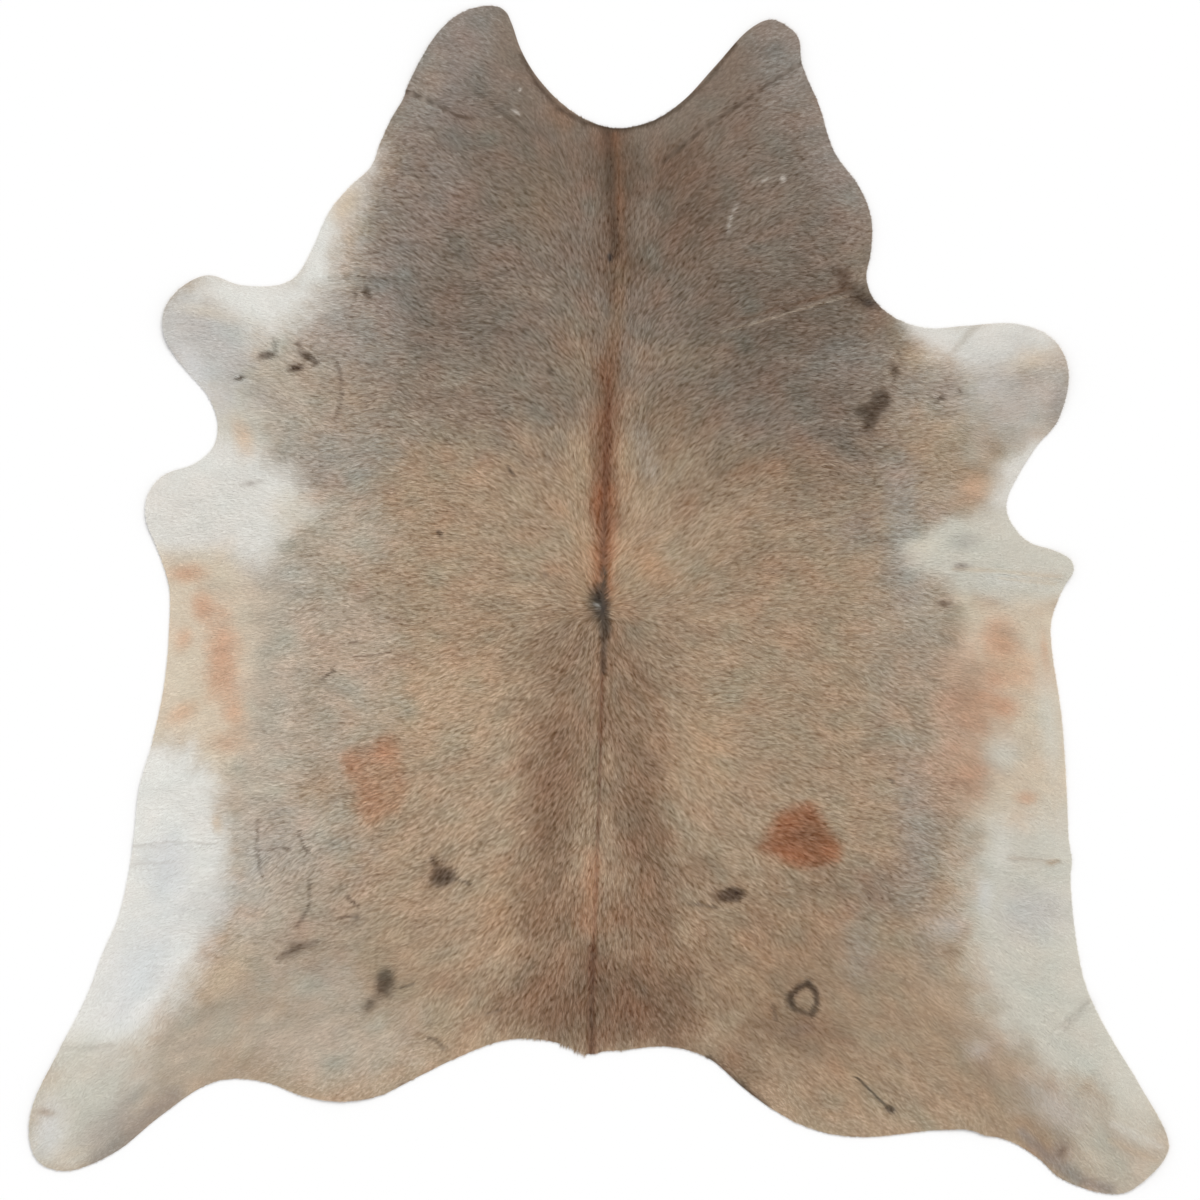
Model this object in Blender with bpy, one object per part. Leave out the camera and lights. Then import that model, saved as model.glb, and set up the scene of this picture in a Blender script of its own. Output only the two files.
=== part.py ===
"""Cowhide rug: one whole tanned hide with its hair on, lying flat on the floor.

The frame is in metres, +Z up, +X across the hide and +Y towards the neck. The origin is on the
floor, at the middle of the rug's own box. The hide is one sheet of even thickness: its underside
is flat on the floor, except where the legs, the neck lobes and the old fold lines rise a little.
"""

import math
from collections import namedtuple

import bpy
import numpy as np
from mathutils.geometry import delaunay_2d_cdt

# Driving dimensions, in metres
HIDE_LENGTH = 2.100
HIDE_THICKNESS = 0.003

# Spacing of the mesh, in metres: fine at the cut edge and along the creases, wide in between
RIM_STEP = 0.015
FIRST_ROW_IN = 0.022
FIRST_ROW_STEP = 0.020
SECOND_ROW_IN = 0.052
SECOND_ROW_STEP = 0.031
INNER_STEP = 0.047
INNER_CLEAR = 0.030
CREASE_STEP = 0.026
CREASE_CLEAR = 0.011
CLEAR_OF_RIM = 0.011

# Places are read off the reference picture as a column and a row, in pixels. The picture looks
# straight down, so one scale turns them all into metres.

# The cut edge, clockwise from the left shoulder: (column, row) of each bend that the outline needs
EDGE_BENDS = {
    "left shoulder": ((281, 284.5), (297, 275.5), (312, 250), (330, 211), (350, 187), (371, 167)),
    "left side of the neck": ((381, 142), (391, 120), (404, 98), (406, 91), (421, 60), (440, 31)),
    "left neck lobe": ((462, 13), (489, 6), (504, 10), (511, 22)),
    "left half of the nape": ((521, 50), (537, 77), (560, 102), (586, 120), (617, 128.5)),
    "right half of the nape": ((655, 120), (684, 100), (715, 66.5), (749, 30)),
    "right neck lobe": ((770, 20), (787, 27), (798, 38), (801.5, 64)),
    "right side of the neck": ((819, 106), (834, 152), (860, 189), (871, 220), (870, 256), (866, 275)),
    "right shoulder": ((872, 297), (893, 317), (925, 328), (965, 326), (1012, 323.5), (1042, 332)),
    "right front leg": ((1060, 349), (1068, 376), (1057, 421), (1035, 448), (1007, 499), (1008, 517)),
    "right belly lobe": ((1026, 540.5), (1055, 551), (1070, 560), (1073, 571), (1064, 586), (1051, 620)),
    "right flank": ((1051, 645), (1061, 716), (1067, 810), (1068.5, 842), (1071.5, 860), (1070, 875)),
    "outside of the right hind leg": ((1075, 935), (1084, 981), (1098, 1015), (1137, 1081), (1159, 1119)),
    "right hind tip": ((1168, 1142), (1166, 1154), (1150, 1174), (1125, 1192), (1100, 1192)),
    "inside of the right hind leg": ((1060, 1177.5), (1037, 1157), (1007, 1139.5), (982, 1134)),
    "right rump": ((970, 1129.5), (937, 1129.5), (865, 1136.5), (820, 1131), (780, 1113.5)),
    "right of the tail": ((745, 1089), (711, 1059.5), (685, 1049), (660, 1046), (625, 1049.5)),
    "tail": ((600, 1051.5), (591, 1054.5), (583, 1051.5)),
    "left of the tail": ((560, 1043), (528, 1038), (500, 1041), (460, 1056), (415, 1078)),
    "left rump": ((380, 1095), (342, 1101), (305, 1096), (263, 1081), (225, 1079)),
    "inside of the left hind leg": ((200, 1088), (157, 1118.5), (115, 1152)),
    "left hind tip": ((66, 1170.5), (40, 1162), (30.5, 1141), (33, 1106)),
    "outside of the left hind leg": ((60, 1049), (86, 998), (103, 953), (119, 916), (133, 850)),
    "left flank": ((140, 787), (152, 745), (165, 682), (170, 620), (169.5, 586), (163, 563), (156, 545)),
    "left belly lobe": ((147, 520), (148, 496), (163, 476), (197, 462.5), (214, 446), (218, 424)),
    "left front leg": ((209, 397), (180, 362), (165, 335), (165, 310), (181, 288), (208, 275.3), (240, 285)),
}

# Broad soft rises of the sheet off the floor: an oval each, sizes in metres, turned anticlockwise
Swell = namedtuple("Swell", "column row length width turn height")
SWELLS = {
    "left neck lobe": Swell(452, 72, 0.36, 0.26, 62, 0.0065),
    "right neck lobe": Swell(775, 55, 0.26, 0.18, 118, 0.0060),
    "right side of the neck": Swell(868, 235, 0.20, 0.10, 90, 0.0035),
    "left front leg": Swell(172, 322, 0.22, 0.16, 65, 0.0065),
    "right front leg": Swell(1062, 375, 0.26, 0.16, 100, 0.0070),
    "left belly lobe": Swell(150, 505, 0.20, 0.14, 90, 0.0045),
    "right belly lobe": Swell(1066, 566, 0.20, 0.09, 0, 0.0050),
    "left flank": Swell(138, 800, 0.34, 0.10, 80, 0.0030),
    "right flank": Swell(1068, 770, 0.30, 0.10, 93, 0.0030),
    "left hind leg": Swell(62, 1105, 0.30, 0.18, 60, 0.0060),
    "right hind leg": Swell(1140, 1150, 0.30, 0.18, 122, 0.0070),
    "right rump": Swell(965, 1130, 0.18, 0.08, 0, 0.0035),
    "left rump": Swell(340, 1100, 0.22, 0.08, 0, 0.0030),
}

# Fold lines left from when the hide was packed: soft ridges, or troughs where the height is below zero.
# A route is the (column, row) of a few places along the fold line.
Crease = namedtuple("Crease", "route width height")
CREASES = {
    "left neck, outer": Crease(((400, 91), (430, 103), (456, 117), (482, 121)), 0.040, -0.0022),
    "left neck, inner": Crease(((468, 91), (488, 101), (510, 117)), 0.036, -0.0016),
    "right neck": Crease(((806, 59), (772, 80), (745, 99), (705, 130), (665, 161)), 0.042, 0.0020),
    "chest": Crease(((322, 276), (420, 279), (500, 284), (566, 287)), 0.044, 0.0016),
    "right shoulder": Crease(((722, 329), (790, 312), (838, 302), (876, 299)), 0.044, 0.0022),
    "left belly": Crease(((165, 576), (196, 577), (222, 580)), 0.040, 0.0026),
    "right belly": Crease(((940, 572), (1000, 575), (1066, 577)), 0.040, 0.0022),
    "left flank": Crease(((130, 846), (180, 844), (245, 846), (300, 848)), 0.044, 0.0026),
    "right flank": Crease(((985, 862), (1030, 864), (1075, 860)), 0.044, 0.0032),
    "right hind leg, upper": Crease(((1040, 965), (1060, 962), (1082, 958)), 0.040, 0.0024),
    "right hind leg, lower": Crease(((1052, 1034), (1072, 1018), (1096, 1001)), 0.048, 0.0046),
    "left hind leg": Crease(((55, 1048), (85, 1052), (120, 1050)), 0.046, 0.0024),
}

HAIR_COLOUR = (0.36, 0.26, 0.18, 1.0)
HAIR_ROUGHNESS = 0.75
SHARP_ANGLE = math.radians(40)


def closed_curve(bends, step):
    """Points about one step apart on a smooth closed curve through the bends."""
    bends = np.array(bends, dtype=float)
    before, after, beyond = np.roll(bends, 1, 0), np.roll(bends, -1, 0), np.roll(bends, -2, 0)
    stretches = [curve_stretch(*corners) for corners in zip(before, bends, after, beyond)]
    return evenly_spaced(np.concatenate(stretches), step, closed=True)


def curve_stretch(before, start, end, beyond, samples=24):
    """The centripetal Catmull-Rom stretch from start towards end, without its last point."""
    knots = np.cumsum([0] + [math.sqrt(math.dist(a, b)) for a, b in
                             ((before, start), (start, end), (end, beyond))])
    t = np.linspace(knots[1], knots[2], samples, endpoint=False)[:, None]

    def blend(a, b, t0, t1):
        return ((t1 - t) * a + (t - t0) * b) / (t1 - t0)

    first = blend(before, start, knots[0], knots[1])
    middle = blend(start, end, knots[1], knots[2])
    last = blend(end, beyond, knots[2], knots[3])
    return blend(blend(first, middle, knots[0], knots[2]),
                 blend(middle, last, knots[1], knots[3]), knots[1], knots[2])


def evenly_spaced(points, step, closed=False):
    """The same line again, with its points about one step apart."""
    if closed:
        points = np.vstack([points, points[:1]])
    along = np.concatenate([[0], np.cumsum(np.linalg.norm(np.diff(points, axis=0), axis=1))])
    count = max(2, round(along[-1] / step))
    wanted = np.linspace(0, along[-1], count + 1)[:-1 if closed else None]
    return np.column_stack([np.interp(wanted, along, points[:, axis]) for axis in (0, 1)])


class Picture:
    """Turns a column and a row of the reference picture into metres on the floor."""

    def __init__(self, edge, length):
        self.low, self.high = edge.min(axis=0), edge.max(axis=0)
        self.scale = length / (self.high[1] - self.low[1])

    def place(self, places):
        middle = (self.low + self.high) / 2
        return (np.array(places, dtype=float) - middle) * (self.scale, -self.scale)


def soft_step(distance):
    """Falls smoothly from 1 where the distance is 0 to nothing where it is 1 or more."""
    return np.where(distance < 1, np.cos(np.minimum(distance, 1) * math.pi / 2) ** 2, 0)


def distance_to_line(points, line):
    """How far each point lies from a line of straight stretches."""
    nearest = np.full(len(points), np.inf)
    for start, end in zip(line[:-1], line[1:]):
        run = end - start
        share = np.clip((points - start) @ run / (run @ run), 0, 1)
        nearest = np.minimum(nearest, np.linalg.norm(points - start - share[:, None] * run, axis=1))
    return nearest


def lift(points, picture):
    """Height of the underside over the floor at each point."""
    height = np.zeros(len(points))
    for swell in SWELLS.values():
        turn = math.radians(swell.turn)
        offset = points - picture.place((swell.column, swell.row))
        along = offset @ (math.cos(turn), math.sin(turn)) / (swell.length / 2)
        across = offset @ (-math.sin(turn), math.cos(turn)) / (swell.width / 2)
        height += swell.height * soft_step(np.hypot(along, across))
    for crease in CREASES.values():
        away = distance_to_line(points, picture.place(crease.route))
        height += crease.height * soft_step(away / (crease.width / 2))
    return np.maximum(height, 0)


def crease_points(crease, picture):
    """Rows of mesh points along one crease: its middle line and its flanks."""
    middle_line = evenly_spaced(picture.place(crease.route), CREASE_STEP)
    run = np.gradient(middle_line, axis=0)
    aside = np.column_stack([-run[:, 1], run[:, 0]]) / np.linalg.norm(run, axis=1)[:, None]
    flanks = [middle_line + side * crease.width / 2 * aside for side in (0.5, -0.5, 1, -1)]
    return [middle_line, *flanks]


def lattice(low, high, step):
    """Staggered rows of points, so that the triangles come out nearly even-sided."""
    row_gap = step * math.sqrt(3) / 2
    rows = []
    for number, y in enumerate(np.arange(low[1], high[1], row_gap)):
        x = np.arange(low[0] + step / 2 * (number % 2), high[0], step)
        rows.append(np.column_stack([x, np.full(len(x), y)]))
    return np.concatenate(rows)


def inside(points, rim):
    """Which of the points lie inside the closed rim."""
    x, y = points[:, 0], points[:, 1]
    within = np.zeros(len(points), dtype=bool)
    for (x0, y0), (x1, y1) in zip(rim, np.roll(rim, -1, 0)):
        if y0 != y1:
            crossing = x0 + (y - y0) * (x1 - x0) / (y1 - y0)
            within ^= ((y0 > y) != (y1 > y)) & (x < crossing)
    return within


def inner_points(rim, picture):
    """Mesh points inside the rim: the creases first, then two rows beside the rim, then the lattice."""
    run = np.roll(rim, -1, 0) - np.roll(rim, 1, 0)
    inward = np.column_stack([run[:, 1], -run[:, 0]]) / np.linalg.norm(run, axis=1)[:, None]
    creases = np.concatenate([row for crease in CREASES.values() for row in crease_points(crease, picture)])
    groups = ((creases, CREASE_CLEAR),
              (rim + FIRST_ROW_IN * inward, FIRST_ROW_STEP),
              (rim + SECOND_ROW_IN * inward, SECOND_ROW_STEP),
              (lattice(rim.min(0), rim.max(0), INNER_STEP), INNER_CLEAR))
    closed_rim = np.vstack([rim, rim[:1]])
    kept = []
    for group, clear in groups:
        group = group[inside(group, rim)]
        group = group[distance_to_line(group, closed_rim) > CLEAR_OF_RIM]
        for point in group:
            if not kept or np.min(np.linalg.norm(np.array(kept) - point, axis=1)) > clear:
                kept.append(point)
    return np.array(kept)


def hair_material():
    """The hide's middle colour: greige tan hair with a dull sheen."""
    material = bpy.data.materials.new("hide_hair")
    material.use_nodes = True
    shader = material.node_tree.nodes["Principled BSDF"]
    shader.inputs["Base Color"].default_value = HAIR_COLOUR
    shader.inputs["Roughness"].default_value = HAIR_ROUGHNESS
    shader.inputs["Metallic"].default_value = 0.0
    return material


def make_hide():
    """The hide as one sheet: a triangulated underside, thickened upwards."""
    edge = closed_curve([bend for bends in EDGE_BENDS.values() for bend in bends], step=1)
    picture = Picture(edge, HIDE_LENGTH)
    rim = evenly_spaced(picture.place(edge), RIM_STEP, closed=True)
    flat = np.concatenate([rim, inner_points(rim, picture)])
    rim_edges = [(number, (number + 1) % len(rim)) for number in range(len(rim))]
    corners, _, faces, _, _, _ = delaunay_2d_cdt([tuple(point) for point in flat], rim_edges, [], 1, 1e-6)
    corners = np.array([tuple(corner) for corner in corners])
    heights = lift(corners, picture)

    mesh = bpy.data.meshes.new("hide")
    mesh.from_pydata([(x, y, z) for (x, y), z in zip(corners, heights)], [], faces)
    mesh.materials.append(hair_material())
    mesh.shade_smooth()
    mesh.set_sharp_from_angle(angle=SHARP_ANGLE)
    hide = bpy.data.objects.new("hide", mesh)
    bpy.context.scene.collection.objects.link(hide)

    thicken = hide.modifiers.new("leather and hair", "SOLIDIFY")
    thicken.thickness = HIDE_THICKNESS
    thicken.offset = 1
    thicken.use_rim = True
    return hide


for leftover in list(bpy.data.objects):
    bpy.data.objects.remove(leftover, do_unlink=True)
make_hide()
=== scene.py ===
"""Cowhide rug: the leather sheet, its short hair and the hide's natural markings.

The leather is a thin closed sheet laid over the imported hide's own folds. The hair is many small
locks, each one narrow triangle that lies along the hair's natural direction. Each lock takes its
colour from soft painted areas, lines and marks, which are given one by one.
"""

import math
from collections import namedtuple

import bmesh
import bpy
import numpy as np
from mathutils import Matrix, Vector
from mathutils.bvhtree import BVHTree
from mathutils.geometry import delaunay_2d_cdt


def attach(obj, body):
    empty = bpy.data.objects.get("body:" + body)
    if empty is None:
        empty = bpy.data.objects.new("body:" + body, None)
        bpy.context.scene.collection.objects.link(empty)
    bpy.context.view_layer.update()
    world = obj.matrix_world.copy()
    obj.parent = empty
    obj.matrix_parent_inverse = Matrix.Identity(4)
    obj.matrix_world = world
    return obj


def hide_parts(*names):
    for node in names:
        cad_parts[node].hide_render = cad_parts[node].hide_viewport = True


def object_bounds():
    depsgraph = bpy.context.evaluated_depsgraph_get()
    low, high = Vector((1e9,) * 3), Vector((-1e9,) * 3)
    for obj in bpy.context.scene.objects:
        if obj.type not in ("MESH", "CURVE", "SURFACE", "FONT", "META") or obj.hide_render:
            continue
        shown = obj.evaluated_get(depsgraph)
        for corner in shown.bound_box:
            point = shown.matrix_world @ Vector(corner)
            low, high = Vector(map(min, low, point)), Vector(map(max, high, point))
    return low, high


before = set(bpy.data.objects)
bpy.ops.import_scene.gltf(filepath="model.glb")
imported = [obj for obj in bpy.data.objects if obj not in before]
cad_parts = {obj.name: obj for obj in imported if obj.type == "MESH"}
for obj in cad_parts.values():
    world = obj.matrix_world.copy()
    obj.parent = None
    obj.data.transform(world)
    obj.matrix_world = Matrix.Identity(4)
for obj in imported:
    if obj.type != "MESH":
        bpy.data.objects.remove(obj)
cad_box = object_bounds()

# The reference picture, in pixels: its side, and the columns and rows between which the hide lies
PICTURE_SIDE = 1200
HIDE_COLUMNS = (29.7, 1168.1)
HIDE_ROWS = (6.0, 1193.6)

# How many millimetres a metre has
MILLIMETRES = 1000

# The leather sheet, in metres and square metres, and the angle in degrees from which an edge is sharp
LEATHER = 0.0020
RIM_STEP = 0.004
SHEET_STEP = 0.014
EDGE_INSET = 0.0006
SHARP_ANGLE = 50

# The hair, in metres. No lock grows on the bare rim, and none is shorter than the shortest.
LOCK_GAP = 0.00190
LOCK_LENGTH = 0.0120
LOCK_WIDTH = 0.0013
SHORTEST_LOCK = 0.003
ROOT_DEPTH = 0.0003
TIP_RISE = 0.0016
OVERHANG = 0.0030
BARE_RIM = 0.0008
EDGE_BAND = 0.10

# How uneven the locks are: their seed, how far roots stray as a share of the gap, how far directions
# stray in degrees, and the least and greatest share of a length, width or rise
LOCK_SEED = 5
ROOT_STRAY = 0.45
LOCK_STRAY = 9
UNEVEN = (0.7, 1.3)

# At the rim, locks have these shares of their length and rise. What hangs over is pulled back by more
# than its own length, because a lock seldom points straight outwards.
RIM_LENGTH = 0.60
RIM_RISE = 0.40
PULL_BACK = 1.2

# Where along a lock its colour is taken, and how much higher light streaks stand, up to a limit
SEEN_SHARE = 0.6
STREAK_RISE = 0.35
RISE_LIMIT = 2

# The ragged fringe at the tail: its place in the picture, its reach and length in metres, and the share
# by which its locks are longer
TAIL = (570, 1045)
TAIL_REACH = 0.16
TAIL_FRINGE = 0.0220
TAIL_GROWTH = 0.8

# The hide's colours, in the picture's own brightness from 0 to 1
PALETTE = {
    "tan": (0.640, 0.555, 0.460),
    "warm tan": (0.690, 0.575, 0.460),
    "brown tan": (0.590, 0.500, 0.405),
    "taupe": (0.500, 0.440, 0.385),
    "dusk": (0.425, 0.370, 0.315),
    "ash": (0.545, 0.505, 0.470),
    "umber": (0.400, 0.310, 0.240),
    "brown": (0.510, 0.405, 0.315),
    "drab": (0.520, 0.435, 0.350),
    "fawn": (0.615, 0.500, 0.390),
    "mouse": (0.545, 0.490, 0.425),
    "greige": (0.640, 0.580, 0.510),
    "pale greige": (0.715, 0.668, 0.605),
    "stone": (0.715, 0.685, 0.640),
    "cool grey": (0.610, 0.585, 0.555),
    "lilac grey": (0.765, 0.750, 0.730),
    "sand": (0.780, 0.700, 0.600),
    "cream": (0.835, 0.785, 0.710),
    "bone": (0.805, 0.790, 0.745),
    "white": (0.872, 0.866, 0.845),
    "cold white": (0.835, 0.838, 0.835),
    "peach": (0.810, 0.690, 0.580),
    "orange": (0.775, 0.630, 0.520),
    "clay": (0.680, 0.570, 0.480),
    "rust": (0.665, 0.485, 0.365),
    "russet": (0.585, 0.385, 0.265),
    "chestnut": (0.465, 0.335, 0.245),
    "bay": (0.420, 0.280, 0.195),
    "soot": (0.280, 0.222, 0.170),
    "black": (0.130, 0.115, 0.110),
    "scar": (0.760, 0.720, 0.680),
}

# Soft painted shapes. Places are columns and rows of the picture, and sizes are in millimetres.
# A patch is an oval turned anticlockwise by degrees, and edge is the soft share of its radius. An area is a
# closed shape, and soft is how wide its outline fades. A stripe is soft across the whole of its width.
Patch = namedtuple("Patch", "column row length width colour strength turn edge", defaults=(0, 1.0))
Area = namedtuple("Area", "outline soft colour strength")
Stripe = namedtuple("Stripe", "route width colour strength")


def table(kind, rows):
    """Rows by name, each with the columns of its kind."""
    return {name: kind(*row) for name, row in rows.items()}


NECK_AREAS = table(Area, {
    "neck and shoulders": (((365, 330), (385, 120), (420, -80), (820, -80), (900, 230), (905, 330),
                            (900, 420), (880, 490), (760, 470), (610, 420), (470, 440), (380, 430)),
                           220, "taupe", 1.0),
})

NECK_PATCHES = table(Patch, {
    "left elbow": (300, 390, 540, 400, "greige", 0.85, 10, 0.9),
    "left elbow, pale": (240, 375, 340, 260, "pale greige", 0.95, 90, 0.9),
    "left side of the neck": (395, 270, 560, 180, "ash", 0.75, 80, 0.9),
    "right elbow": (965, 385, 420, 300, "pale greige", 0.8, 0, 0.9),
    "left neck lobe": (440, 75, 540, 280, "ash", 1.0, 65, 0.8),
    "left neck lobe, light": (430, 80, 200, 100, "greige", 0.45, 65),
    "left neck lobe, inner": (500, 78, 160, 100, "cool grey", 0.3, 120),
    "right neck lobe": (790, 60, 340, 220, "ash", 0.9, 110, 0.9),
    "right neck lobe, light": (772, 98, 280, 150, "cool grey", 0.3, 120),
    "right side of the neck": (840, 165, 440, 180, "ash", 0.85, 110, 0.9),
    "right shoulder blade": (794, 324, 560, 360, "dusk", 0.8),
    "left shoulder blade": (450, 290, 340, 260, "dusk", 0.2),
    "right of the spine, neck": (690, 220, 420, 280, "umber", 0.5, 75),
    "left side of the neck, pale": (445, 195, 220, 140, "ash", 0.4, 80),
    "left side of the neck, spot": (450, 174, 130, 110, "cool grey", 0.28),
    "left of the neck line": (540, 200, 260, 200, "drab", 0.55, 90),
    "left of the nape": (562, 120, 120, 80, "brown", 0.5, 130),
    "right of the nape": (680, 160, 260, 140, "umber", 0.35, 60),
    "nape": (640, 165, 480, 180, "bay", 0.22),
    "right neck, dark": (760, 228, 200, 110, "dusk", 0.3),
})

SHOULDER_PATCHES = table(Patch, {
    "left of the neck line, low": (578, 358, 180, 240, "brown tan", 0.65),
    "left of the neck line, pale": (545, 292, 240, 120, "mouse", 0.6),
    "right of the line, low": (670, 356, 280, 100, "brown tan", 0.45),
    "left shoulder blade, pale": (492, 382, 500, 180, "mouse", 0.85),
    "left shoulder, low": (418, 428, 140, 110, "greige", 0.55),
    "left shoulder, spot": (455, 372, 130, 100, "greige", 0.3),
    "between the shoulders": (660, 425, 340, 280, "drab", 0.75),
    "right of the shoulders": (730, 470, 240, 160, "drab", 0.6),
    "right of the shoulders, warm": (792, 470, 260, 140, "fawn", 0.5),
    "right of the shoulders, low": (700, 496, 140, 80, "brown", 0.32),
    "right side, grey": (858, 532, 180, 150, "ash", 0.55),
    "right armpit, grey": (902, 478, 130, 170, "ash", 0.6),
    "right armpit, inner": (950, 500, 120, 160, "pale greige", 0.6),
    "left shoulder, grey": (335, 318, 340, 260, "cool grey", 0.85, 90),
    "right elbow, grey": (943, 392, 170, 120, "ash", 0.55),
    "left elbow, low": (255, 420, 340, 440, "pale greige", 1.0, 0, 0.9),
    "left armpit, soft": (252, 400, 130, 110, "stone", 0.75, 60),
    "right elbow, high": (800, 380, 300, 120, "taupe", 0.35),
    "right shoulder, below the fold": (846, 356, 260, 130, "cool grey", 0.45, 4),
    "right elbow, inner": (910, 388, 90, 140, "ash", 0.55),
    "right elbow, cool": (945, 372, 150, 90, "cool grey", 0.4),
})

BACK_PATCHES = table(Patch, {
    "right back, upper": (760, 560, 260, 140, "drab", 0.35),
    "right of the whorl": (648, 568, 120, 140, "warm tan", 0.85),
    "below the whorl": (588, 655, 460, 320, "drab", 0.95),
    "above the loin": (600, 752, 340, 460, "brown", 0.58),
    "loin": (618, 912, 360, 190, "brown", 0.85),
    "left of the loin": (505, 910, 160, 300, "fawn", 0.65),
    "right of the loin": (735, 960, 480, 260, "fawn", 0.8),
    "left back, warm": (435, 690, 600, 320, "warm tan", 0.45),
    "left back, light": (415, 705, 400, 300, "sand", 0.24),
    "left middle, grey": (330, 470, 400, 240, "cool grey", 0.7),
    "left middle, pale": (300, 650, 740, 500, "greige", 0.9, 85, 0.8),
    "left belly, pale": (272, 574, 260, 180, "stone", 1.0),
    "left flank, inner": (262, 740, 760, 250, "pale greige", 1.0, 86, 0.7),
    "left back": (352, 680, 460, 220, "pale greige", 0.65, 88, 0.9),
    "left back, upper": (340, 535, 400, 200, "pale greige", 0.75, 0, 0.9),
    "left back, warm streak": (350, 654, 200, 170, "orange", 0.28),
    "right middle": (920, 600, 800, 240, "greige", 0.9, 95, 0.9),
    "right middle, pale": (925, 600, 240, 160, "pale greige", 0.5, 95),
    "right middle, cool": (905, 540, 460, 140, "cool grey", 0.7, 95),
    "right middle, soft": (882, 680, 620, 140, "greige", 0.6, 92),
})

LOIN_PATCHES = table(Patch, {
    "left loin": (300, 900, 560, 400, "greige", 0.9, 90, 0.9),
    "left loin, pale": (255, 900, 500, 260, "pale greige", 0.75, 80),
    "left back, low": (322, 745, 180, 180, "pale greige", 0.6),
    "left loin, cool": (304, 832, 270, 230, "stone", 0.6, 90),
    "left loin, grey": (272, 850, 260, 160, "cool grey", 0.42, 84),
    "left loin, edge": (250, 868, 400, 100, "lilac grey", 0.4, 88),
    "left thigh, cool": (330, 985, 260, 140, "stone", 0.55),
    "right loin": (790, 950, 560, 460, "brown tan", 0.9, 0, 0.9),
    "right loin, dark": (800, 1030, 260, 150, "brown", 0.6),
    "right of the rump": (680, 1020, 200, 160, "brown", 0.45),
    "right of the rump, light": (746, 985, 160, 130, "warm tan", 0.65),
    "right loin, warm": (784, 950, 300, 200, "rust", 0.16),
    "right of the tail": (738, 1068, 160, 70, "brown", 0.75, 139),
    "right loin, outer": (930, 950, 260, 160, "greige", 0.7, 100),
    "right thigh, soft": (850, 1076, 160, 120, "warm tan", 0.45),
})

# The brown bands beside the spine
BAND_PATCHES = table(Patch, {
    "right back, pale": (708, 750, 340, 160, "warm tan", 0.75, 95),
    "right back, warm": (674, 778, 260, 90, "warm tan", 0.35, 96),
    "left brown band": (553, 796, 900, 180, "brown", 0.98, 84, 0.9),
    "left brown band, dark": (553, 782, 400, 100, "umber", 0.16, 86),
    "right brown band": (650, 850, 920, 160, "brown", 0.92, 96, 0.9),
    "right of the line": (621, 812, 420, 85, "drab", 0.85, 91),
    "right of the line, dark": (636, 835, 220, 80, "umber", 0.3, 92),
    "right brown band, foot": (702, 868, 180, 130, "brown", 0.5),
})

RUMP_PATCHES = table(Patch, {
    "rump": (600, 1000, 580, 280, "brown", 0.95, 0, 0.8),
    "rump, dark": (598, 1008, 420, 280, "umber", 0.45),
    "rump, red": (600, 1004, 440, 240, "bay", 0.17),
    "left rump": (322, 1046, 440, 280, "pale greige", 0.95, 0, 0.9),
    "left thigh": (180, 1050, 600, 340, "pale greige", 0.9, 40),
    "left hind leg": (95, 1110, 360, 240, "stone", 0.95, 60, 0.7),
    "left thigh, upper": (176, 1012, 160, 100, "stone", 0.6, 45),
    "left thigh, warm": (228, 974, 200, 100, "sand", 0.7, 40),
    "right thigh": (1000, 1055, 420, 180, "pale greige", 0.55, 125),
    "right loin, edge": (884, 886, 200, 170, "taupe", 0.65),
    "right flank, inner": (918, 836, 500, 150, "cool grey", 0.6, 92),
    "right flank, inner, pale": (950, 926, 150, 120, "lilac grey", 0.65),
    "right back, low": (812, 884, 170, 90, "drab", 0.45),
    "right loin, cool": (860, 950, 250, 140, "cool grey", 0.42, 90),
    "right thigh, warm": (954, 984, 170, 120, "sand", 0.5, 90),
    "right thigh, lower": (1014, 1070, 160, 120, "warm tan", 0.3, 120),
    "right thigh, grey": (978, 1050, 90, 70, "lilac grey", 0.5),
    "inside of the right hind leg": (1060, 1110, 300, 160, "lilac grey", 0.7, 140),
})

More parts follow.
